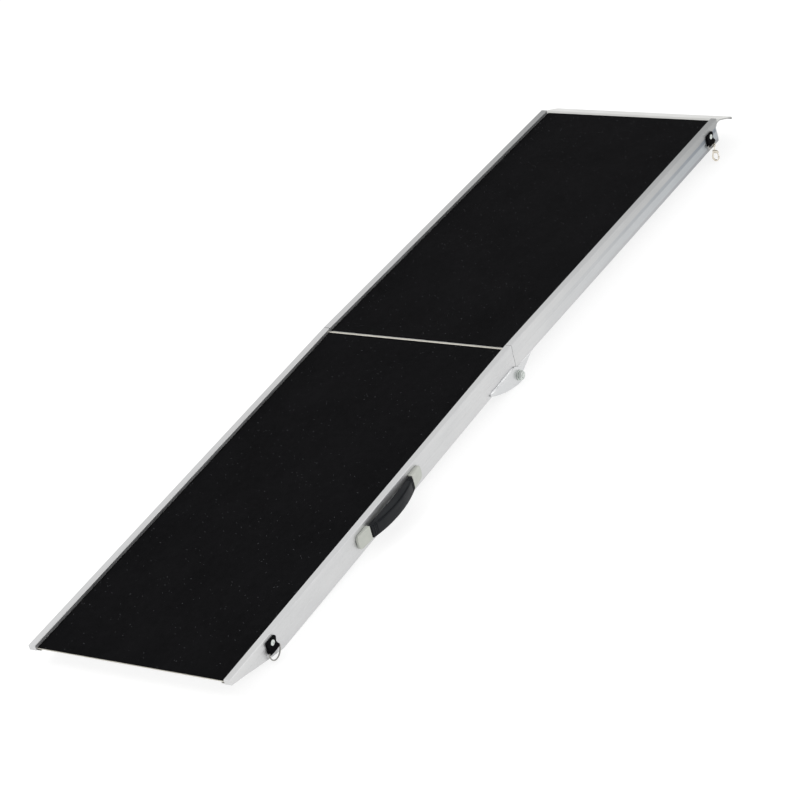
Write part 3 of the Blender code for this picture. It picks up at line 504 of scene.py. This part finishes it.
def loft(rings, closed=False):
    """Skin a row of rings with equal numbers of points; the ends are closed by faces."""
    shape = bmesh.new()
    loops = [[shape.verts.new(point) for point in ring] for ring in rings]
    pairs = list(zip(loops, loops[1:]))
    if closed:
        pairs.append((loops[-1], loops[0]))
    for first, second in pairs:
        for index in range(len(first)):
            after = (index + 1) % len(first)
            shape.faces.new((first[index], first[after], second[after], second[index]))
    if not closed:
        shape.faces.new(list(reversed(loops[0])))
        shape.faces.new(loops[-1])
    return shape


def turned(profile, centre, direction, sides=48, closed=False):
    """Turn (distance along, radius) pairs about a line; closed joins the last pair to the first."""
    spin = Vector(direction).to_track_quat("Z", "Y").to_matrix()
    rings = []
    for along, radius in profile:
        ring = []
        for index in range(sides):
            angle = 2 * math.pi * index / sides
            local = Vector((radius * math.cos(angle), radius * math.sin(angle), along))
            ring.append(Vector(centre) + spin @ local)
        rings.append(ring)
    return loft(rings, closed)


def swept(path, radius, sides=16, closed=False, across=(1, 0, 0)):
    """Round wire along a flat path; radius is a number or a function of the point's index."""
    rings = []
    count = len(path)
    for index in range(count):
        here = Vector(path[index])
        before = Vector(path[index - 1] if closed else path[max(index - 1, 0)])
        after = Vector(path[(index + 1) % count if closed else min(index + 1, count - 1)])
        along = (after - before).normalized()
        side = Vector(across)
        inward = along.cross(side).normalized()
        reach = radius(index) if callable(radius) else radius
        ring = []
        for step in range(sides):
            angle = 2 * math.pi * step / sides
            ring.append(here + (side * math.cos(angle) + inward * math.sin(angle)) * reach)
        rings.append(ring)
    return loft(rings, closed)


# ---------------------------------------------------------------- treads

TREAD_EDGE = (0.0, 0.25 * MM, 0.6 * MM, 1.1 * MM)     # distances in from a tread's border
TREAD_ROUND = 0.3 * MM


def spread_with_border(low, high, cells):
    """Even divisions between two borders, with closer ones where the edge is rounded."""
    inner_low, inner_high = low + TREAD_EDGE[-1], high - TREAD_EDGE[-1]
    values = [low + step for step in TREAD_EDGE[:-1]]
    values += [inner_low + (inner_high - inner_low) * index / cells for index in range(cells + 1)]
    values += [high - step for step in reversed(TREAD_EDGE[:-1])]
    return values


def tread(node, panel):
    """Glued grit sheet: rounded cut edges that wander a little, and a slightly uneven face."""
    low, high = panel.box(node)
    across = spread_with_border(low.x, high.x, 46)
    along = spread_with_border(low.y, high.y, 110)
    wander = 0.45 * MM
    wander_reach = 12 * MM
    settled = 0.08 * MM
    shape = bmesh.new()

    def vertex(x, y):
        border = min(x - low.x, high.x - x, y - low.y, high.y - y)
        edge = max(0.0, 1 - border / TREAD_EDGE[-1])
        swell = 0.10 * MM * noise.noise(Vector((x * 18, y * 18, 0.0)))
        z = high.z - TREAD_ROUND * edge ** 2 - settled + swell
        near_end = max(0.0, 1 - min(y - low.y, high.y - y) / wander_reach)
        near_side = max(0.0, 1 - min(x - low.x, high.x - x) / wander_reach)
        shift_y = wander * near_end * (noise.noise(Vector((x * 55, y * 3, 4.0))) - 0.4)
        shift_x = 0.5 * wander * near_side * (noise.noise(Vector((x * 3, y * 30, 9.0))) - 0.4)
        inward_y = math.copysign(1, y - (low.y + high.y) / 2)
        inward_x = math.copysign(1, x - (low.x + high.x) / 2)
        return shape.verts.new((x + inward_x * shift_x, y + inward_y * shift_y, z))

    grid = [[vertex(x, y) for x in across] for y in along]
    for row, following in zip(grid, grid[1:]):
        for index in range(len(across) - 1):
            shape.faces.new((row[index], row[index + 1], following[index + 1], following[index]))
    far_side = [row[-1] for row in grid[1:]]
    back_side = [row[0] for row in grid[-2:0:-1]]
    rim = grid[0] + far_side + grid[-1][-2::-1] + back_side
    foot = [shape.verts.new((vert.co.x, vert.co.y, low.z)) for vert in rim]
    for index in range(len(rim)):
        after = (index + 1) % len(rim)
        shape.faces.new((rim[index], foot[index], foot[after], rim[after]))
    shape.faces.new(foot)
    item = smooth(object_from(f"{node}_sheet", shape, panel), 50)
    finished(item, panel.body, "grit", replaces=[node])


# ---------------------------------------------------------------- welds

def weld_bead(name, panel, start, end, bead, seed, across=(1, 0, 0)):
    """Lumpy row of overlapping weld puddles along a straight edge."""
    radius, pitch = bead
    dice = random.Random(seed)
    first, last = Vector(start), Vector(end)
    length = (last - first).length
    count = max(12, round(length / (0.45 * MM)))
    lumps = [dice.uniform(0.50, 1.25) for _ in range(int(length / pitch) + 3)]
    path, sizes = [], []
    for index in range(count + 1):
        run = length * index / count
        cell, inside = divmod(run / pitch, 1.0)
        share = index / count
        ending = min(1.0, 4.5 * math.sin(math.pi * share) + 0.12)
        here = lumps[int(cell)] * (1 - inside) + lumps[int(cell) + 1] * inside
        ripple = 0.80 + 0.20 * math.sqrt(math.sin(math.pi * inside))
        sizes.append(radius * ending * here * ripple)
        sway = 0.22 * radius * noise.noise(Vector((run * 260, seed, 0.0)))
        path.append(first.lerp(last, share) + Vector((0, 0, sway)))
    shape = swept(path, lambda index: sizes[index], 12, across=across)
    return smooth(object_from(name, shape, panel), 60)


def gusset_welds():
    """Bead along the top of each gusset, where it meets its rail."""
    for side, tag in SIDES:
        low, high = LOWER.box(f"lower_gusset_{tag}")
        face = side * (HALF + 0.9 * MM)
        top = high.z + 0.2 * MM
        bead = weld_bead(f"lower_gusset_weld_{tag}", LOWER, (face, low.y + 2 * MM, top),
                         (face, -14 * MM, top), LOWER_GUSSET_BEAD, 11 + side)
        finished(bead, "lower_panel", "aluminium", "weld")
        low, high = UPPER.box(f"upper_gusset_{tag}")
        outer = (high.x if side > 0 else -low.x) - 0.1 * MM
        bead = weld_bead(f"upper_gusset_weld_{tag}", UPPER, (side * outer, 22 * MM, high.z),
                         (side * outer, high.y - 4 * MM, high.z), UPPER_GUSSET_BEAD, 31 + side)
        finished(bead, "upper_panel", "aluminium", "weld")


def cross_member_welds():
    """Short fillets where each cross member meets the webs of the rails."""
    for word, panel in PANELS:
        for number in range(1, 5):
            low, high = panel.box(f"{word}_cross_member_{number}")
            beads = []
            for side in (-1, 1):
                for y in (low.y, high.y):
                    x = side * (high.x - 0.6 * MM)
                    bead = weld_bead("bead", panel, (x, y, low.z + 1 * MM), (x, y, high.z - 2 * MM),
                                     CROSS_MEMBER_BEAD, number + side, across=(0, 1, 0))
                    beads.append(bead)
            whole = join_objects(f"{word}_cross_member_welds_{number}", beads)
            finished(whole, panel.body, "aluminium", "weld")


def join_objects(name, items):
    """One object out of several, which are removed."""
    shape = bmesh.new()
    for item in items:
        shape.from_mesh(item.data)
        mesh = item.data
        bpy.data.objects.remove(item, do_unlink=True)
        bpy.data.meshes.remove(mesh)
    return smooth(object_from(name, shape), 60)


# ---------------------------------------------------------------- fold hinge

def hexagon_nut(centre_yz, inner_x, outer_x, flats, bore):
    """Hexagon nut with the curved chamfers that turning leaves on its corners."""
    sides = 72
    crown = flats / 2 * 0.96
    slope = math.tan(math.radians(60))
    thick = outer_x - inner_x

    def ring(radius_of, height_of):
        points = []
        for index in range(sides):
            angle = 2 * math.pi * index / sides
            corner = flats / 2 / math.cos((angle % (math.pi / 3)) - math.pi / 6)
            y = centre_yz[0] + radius_of(corner) * math.cos(angle)
            z = centre_yz[1] + radius_of(corner) * math.sin(angle)
            points.append((inner_x + height_of(corner), y, z))
        return points

    def drop(corner):
        return max((corner - crown) / slope, 0.02 * MM)

    lead = 0.5 * MM * math.copysign(1, thick)
    sign = math.copysign(1, thick)
    return loft([
        ring(lambda c: crown, lambda c: 0.0),
        ring(lambda c: c, lambda c: sign * drop(c)),
        ring(lambda c: c, lambda c: thick - sign * drop(c)),
        ring(lambda c: crown, lambda c: thick),
        ring(lambda c: bore + 0.5 * MM, lambda c: thick),
        ring(lambda c: bore, lambda c: thick - lead),
        ring(lambda c: bore, lambda c: lead),
        ring(lambda c: bore + 0.5 * MM, lambda c: 0.0),
    ], closed=True)


def round_plate(low, high, inner, outer, centre, side):
    """Washer or spacer between two distances along X, with rounded rims."""
    rim = min(0.3 * MM, 0.3 * (high - low))
    profile = [
        (low, inner + rim), (low, outer - rim), (low + 0.3 * rim, outer - 0.3 * rim),
        (low + rim, outer), (high - rim, outer), (high - 0.3 * rim, outer - 0.3 * rim),
        (high, outer - rim), (high, inner + rim), (high - rim, inner), (low + rim, inner),
    ]
    return turned(profile, centre, (side, 0, 0), 64, closed=True)


def hinge_pieces(side, tag):
    """Bolt, washers, spacer and nut of one pivot, about its axis."""
    bolt = f"pivot_bolt_{tag}"
    low, high = LOWER.box(bolt)
    pivot_y = (low.y + high.y) / 2
    pivot_z = (low.z + high.z) / 2
    centre = (0, pivot_y, pivot_z)

    def reach(node):
        """Distances of a node's two ends from the ramp's middle, and its radius."""
        start, end = LOWER.box(node)
        edges = sorted((abs(start.x), abs(end.x)))
        return edges[0], edges[1], (end.z - start.z) / 2

    for word in ("pivot_spacer", "outer_washer", "inner_washer"):
        near, far, outer = reach(f"{word}_{tag}")
        shape = round_plate(near, far, BOLT_RADIUS + 0.25 * MM, outer, centre, side)
        item = smooth(object_from(f"{word}_{tag}_turned", shape, LOWER), 30)
        finished(item, "lower_panel", "zinc", replaces=[f"{word}_{tag}"])

    near, far, half_flats = reach(f"pivot_nut_{tag}")
    shape = hexagon_nut((pivot_y, pivot_z), side * near, side * far, 2 * half_flats,
                        BOLT_RADIUS + 0.2 * MM)
    item = smooth(object_from(f"pivot_nut_{tag}_turned", shape, LOWER), 25)
    finished(item, "lower_panel", "zinc", replaces=[f"pivot_nut_{tag}"])

    near, far, head = reach(bolt)
    neck = near + 6 * MM
    dome = [(near + 5 * MM * (1 - math.cos(angle)), head * math.sin(angle))
            for angle in (math.radians(8 + 11.5 * index) for index in range(8))]
    thread = far - 4 * MM
    profile = dome + [(neck, head), (neck, BOLT_RADIUS), (thread, BOLT_RADIUS)]
    pitch, turn = 1.25 * MM, thread
    while turn + pitch < far - 0.4 * MM:
        profile += [(turn + 0.45 * pitch, BOLT_RADIUS - 0.55 * MM),
                    (turn + 0.95 * pitch, BOLT_RADIUS)]
        turn += pitch
    profile += [(far - 0.3 * MM, BOLT_RADIUS - 0.5 * MM), (far, BOLT_RADIUS - 1.2 * MM)]
    shape = turned(profile, centre, (side, 0, 0))
    item = smooth(object_from(f"pivot_bolt_{tag}_turned", shape, LOWER), 40)
    finished(item, "lower_panel", "zinc", replaces=[bolt])


# ---------------------------------------------------------------- carry handle

def strap_curve():
    """Rise of the strap's middle above the rail's face, as a function of y from its centre."""
    low, high = LOWER.box("handle_strap")
    middle = (low.y + high.y) / 2
    flat_rise = 2.6 * MM
    half_thick = 0.75 * MM
    crown = high.x - HALF - half_thick
    bow_half = 97 * MM

    def rise(y):
        share = min(abs(y) / bow_half, 1)
        return flat_rise + (crown - flat_rise) * (1 - share ** 2)
    return middle, (low.z + high.z) / 2, rise


def grip_groove(y, half):
    """Depth of the three grooves round each end of the grip."""
    depth = 0.0
    for number in range(3):
        place = half - (4.2 + 3.9 * number) * MM
        offset = (abs(y) - place) / GRIP_GROOVE_WIDTH
        depth = max(depth, GRIP_GROOVE_DEPTH * math.exp(-offset ** 2))
    return depth


def handle_grip():
    """Moulded grip: boxy section, an edge groove along its top and bottom and ribs at its ends."""
    middle, level, rise = strap_curve()
    low, high = LOWER.box("handle_grip")
    half = (high.y - low.y) / 2
    reach = high.x - HALF
    height = (high.z - low.z) / 2
    sides = 72
    crease_half = half - 15 * MM
    rings = []
    stations = 260
    for index in range(stations + 1):
        y = -half + 2 * half * index / stations
        share = (y / half) ** 2
        outer = reach - GRIP_ARCH * share - rise(y)
        inner = rise(y) - GRIP_BACK_GAP + GRIP_BACK_DROP * share
        ending = max(0.0, (abs(y) - (half - 1.6 * MM)) / (1.6 * MM))
        shrink = grip_groove(y, half) + 0.9 * MM * ending ** 2
        fade = min(1.0, max(0.0, (crease_half - abs(y)) / (4 * MM)))
        ring = []
        for step in range(sides):
            angle = 2 * math.pi * step / sides
            across, up = math.cos(angle), math.sin(angle)
            depth = (outer if across > 0 else inner) - shrink
            tall = height - 0.7 * MM * share ** 2 - shrink
            x = depth * math.copysign(abs(across) ** 0.36, across)
            z = tall * math.copysign(abs(up) ** 0.36, up)
            corner = math.degrees(angle)
            near_corner = min(abs(corner - 47), abs(corner - 313)) / 4.0
            crease = GRIP_CREASE_DEPTH * fade * math.exp(-near_corner ** 2)
            inward = Vector((x, z)).normalized() * crease
            ring.append((HALF + rise(y) + x - inward.x, middle + y, level + z - inward.y))
        rings.append(ring)
    item = smooth(object_from("grip_moulding", loft(rings), LOWER), 50)
    finished(item, "carry_grip", "rubber", replaces=["handle_grip"])


def handle():
    handle_grip()
    refined("handle_strap", 0.3 * MM, segments=2, angle=50)
    for tag in ("lower", "upper"):
        refined(f"handle_cap_{tag}", 0.7 * MM, segments=3, angle=28)


# ---------------------------------------------------------------- latch

def latch_tab(word, panel):
    """Webbing folded round its ring's bar: pinched under the rivet and flared at both ends."""
    node = f"{word}_latch_tab"
    low, high = panel.box(node)
    ring_low, ring_high = panel.box(f"{word}_latch_ring")
    bar_x = (ring_low.x + ring_high.x) / 2
    bar_z = ring_high.z - (ring_high.x - ring_low.x) / 2
    centre_y = (low.y + high.y) / 2
    half = (high.y - low.y) / 2
    loop = bar_z - low.z
    face = low.x
    thick = TAB_REACH - (face - HALF)
    top, waist = high.z, bar_z + 8.5 * MM
    outline = [(face, top - 0.4 * MM), (face + 0.5 * MM, top), (face + thick - 1.2 * MM, top),
               (face + thick - 0.3 * MM, top - 0.5 * MM), (face + thick, top - 1.6 * MM),
               (face + thick, top - 5 * MM), (face + thick, top - 10 * MM),
               (face + thick - 0.2 * MM, waist + 1.5 * MM), (face + thick, waist - 2.5 * MM)]
    outline += arc((bar_x, bar_z), loop - 0.1 * MM, 52, -128, 14)
    outline += [(face + 0.3 * MM, bar_z - 1.5 * MM), (face, bar_z + 2 * MM), (face, waist)]
    columns = 20
    rings = []
    for index in range(columns + 1):
        share = 2 * index / columns - 1
        ring = []
        for x, z in outline:
            pinch = 2.6 * MM * math.exp(-((z - waist) / (4.2 * MM)) ** 2)
            corner = max(0.0, 1 - (top - z) / (5 * MM))
            width = half - pinch - 1.6 * MM * corner ** 2
            edge = max(0.0, abs(share) - 0.82) / 0.18
            puff = 0.35 * MM * (1 - share ** 2)
            thin = 0.75 * MM * edge ** 2
            out = x + (puff - thin) * (x - face) / thick
            ring.append((out, centre_y + share * width, z))
        rings.append(ring)
    shape = loft(rings)
    item = smooth(object_from(f"{word}_latch_webbing", shape, panel), 55)
    finished(item, panel.body, "webbing", replaces=[node])


def rivet(word, panel):
    """Domed rivet with the small dimple that its pulled mandrel leaves."""
    node = f"{word}_latch_rivet"
    low, high = panel.box(node)
    centre = (0, (low.y + high.y) / 2, (low.z + high.z) / 2)
    radius, crown = (high.z - low.z) / 2, high.x
    under = crown - 2.1 * MM
    profile = [
        (low.x, 0.32 * radius), (low.x + 0.3 * MM, 0.34 * radius), (under, 0.34 * radius),
        (under, radius - 0.3 * MM), (under + 0.25 * MM, radius), (under + 0.7 * MM, 0.985 * radius),
        (under + 1.15 * MM, 0.90 * radius), (under + 1.55 * MM, 0.74 * radius),
        (under + 1.9 * MM, 0.52 * radius), (crown, 0.34 * radius),
        (crown - 0.1 * MM, 0.27 * radius), (crown - 0.9 * MM, 0.22 * radius),
        (crown - 1.0 * MM, 0.10 * radius),
    ]
    item = smooth(object_from(f"{node}_turned", turned(profile, centre, (1, 0, 0)), panel), 45)
    finished(item, panel.body, "zinc", replaces=[node])


def latch_ring(word, panel):
    """Wire D-ring: a straight bar in the webbing and a half-oval hanging below it."""
    node = f"{word}_latch_ring"
    low, high = panel.box(node)
    wire = (high.x - low.x) / 2
    x = (low.x + high.x) / 2
    y, bar = (low.y + high.y) / 2, high.z - wire
    half, depth = (high.y - low.y) / 2 - wire, high.z - low.z - 2 * wire
    corner = 2.5 * MM
    flat = half - corner
    path = [(flat * (2 * index / 10 - 1), 0.0) for index in range(11)]
    path += arc((flat, -corner), corner, 90, 0, 8)[1:]
    steps = 56
    for index in range(1, steps):
        angle = math.pi * index / steps
        path.append((half * math.cos(angle), -corner - (depth - corner) * math.sin(angle)))
    path += arc((-flat, -corner), corner, 180, 90, 8)[:-1]
    line = [(x, y + along, bar + down) for along, down in path]
    item = smooth(object_from(f"{node}_wire", swept(line, wire, 20, closed=True), panel), 60)
    finished(item, f"{word}_ring", "nickel", "ring", replaces=[node])


def hook():
    """Snap hook with its swivel eye, gate and pin, with every edge rounded."""
    refined("hook_eye", 0.45 * MM, segments=3, angle=40)
    refined("snap_hook", 0.75 * MM, segments=3, angle=40)
    refined("hook_gate", 0.4 * MM, segments=2, angle=40)
    refined("hook_gate_pin", 0.2 * MM, segments=2, angle=40)


# ---------------------------------------------------------------- the whole ramp

def frame_metal():
    """Rails, plates, trims and decks: the CAD shapes with rounded edges."""
    for word in ("lower", "upper"):
        for tag in ("left", "right"):
            look = "upper_rail" if word == "upper" else "rail"
            refined(f"{word}_rail_{tag}", 0.55 * MM, look, segments=3, angle=20)
            refined(f"{word}_gusset_{tag}", 0.5 * MM, segments=2, angle=30)
        refined(f"{word}_deck", 0.3 * MM, "rail", segments=2, angle=40)
        for number in range(1, 5):
            refined(f"{word}_cross_member_{number}", 0.4 * MM, segments=2, angle=40)
    refined("upper_end_channel", 0.5 * MM, segments=2, angle=40)
    refined("transition_lip", 0.6 * MM, segments=3, angle=40)
    refined("fold_trim", 0.3 * MM, "trim", segments=3, angle=25)
    refined("ground_nose", 0.3 * MM, "trim", segments=3, angle=25)


def build_ramp():
    carry_over_finishes()
    frame_metal()
    tread("lower_tread", LOWER)
    tread("upper_tread", UPPER)
    gusset_welds()
    cross_member_welds()
    for side, tag in SIDES:
        hinge_pieces(side, tag)
    handle()
    for word, panel in PANELS:
        latch_tab(word, panel)
        rivet(word, panel)
        latch_ring(word, panel)
    hook()


# ---------------------------------------------------------------- studio

def floor():
    """Pale ground that glows a little, so that it is nearly white with soft shadows."""
    shape = bmesh.new()
    signs = ((-1, -1), (1, -1), (1, 1), (-1, 1))
    shape.faces.new([shape.verts.new((x * FLOOR_REACH, y * FLOOR_REACH, 0.0)) for x, y in signs])
    item = object_from("studio_floor", shape)
    finish = Finish("pale_floor", metallic=0.0, specular=0.0)
    clouds = finish.noise((0.6, 0.6, 0.6), detail=2.0)
    finish.colour(finish.mix(clouds, (0.30, 0.30, 0.30), (0.32, 0.32, 0.32)))
    finish.shader.inputs["Roughness"].default_value = 0.9
    finish.shader.inputs["Emission Color"].default_value = (1.0, 1.0, 1.0, 1.0)
    finish.shader.inputs["Emission Strength"].default_value = FLOOR_GLOW
    item.data.materials.append(finish.material)


def area_light(name, place, aim, size, power):
    light = bpy.data.lights.new(name, "AREA")
    light.shape = "DISK"
    light.size = size
    light.energy = power
    item = bpy.data.objects.new(name, light)
    bpy.context.scene.collection.objects.link(item)
    item.location = place
    direction = Vector(aim) - Vector(place)
    item.rotation_euler = direction.to_track_quat("-Z", "Y").to_euler()


def studio():
    floor()
    world = bpy.data.worlds.new("studio")
    bpy.context.scene.world = world
    world.use_nodes = True
    background = world.node_tree.nodes["Background"]
    background.inputs["Color"].default_value = (1.0, 1.0, 1.0, 1.0)
    background.inputs["Strength"].default_value = SKY_STRENGTH
    area_light("key", (-2.2, -1.6, 4.2), (0, 0, 0), 3.2, 70.0)
    area_light("fill", (3.2, 1.0, 2.6), (0, 0.2, 0), 3.4, 18.0)
    bpy.context.scene.view_settings.view_transform = "Standard"


def camera():
    """Camera on the right of the ground end, rolled so that the ramp climbs across the image."""
    data = bpy.data.cameras.new("camera")
    data.lens = CAMERA_LENS
    data.sensor_width = 36.0
    data.clip_end = 60.0
    item = bpy.data.objects.new("camera", data)
    bpy.context.scene.collection.objects.link(item)
    turn = Matrix.Rotation(CAMERA_AZIMUTH, 4, "Z") @ Matrix.Rotation(
        math.pi / 2 - CAMERA_ELEVATION, 4, "X") @ Matrix.Rotation(CAMERA_ROLL, 4, "Z")
    item.matrix_world = Matrix.Translation(CAMERA_PLACE) @ turn
    bpy.context.scene.camera = item


camera()
build_ramp()
studio()
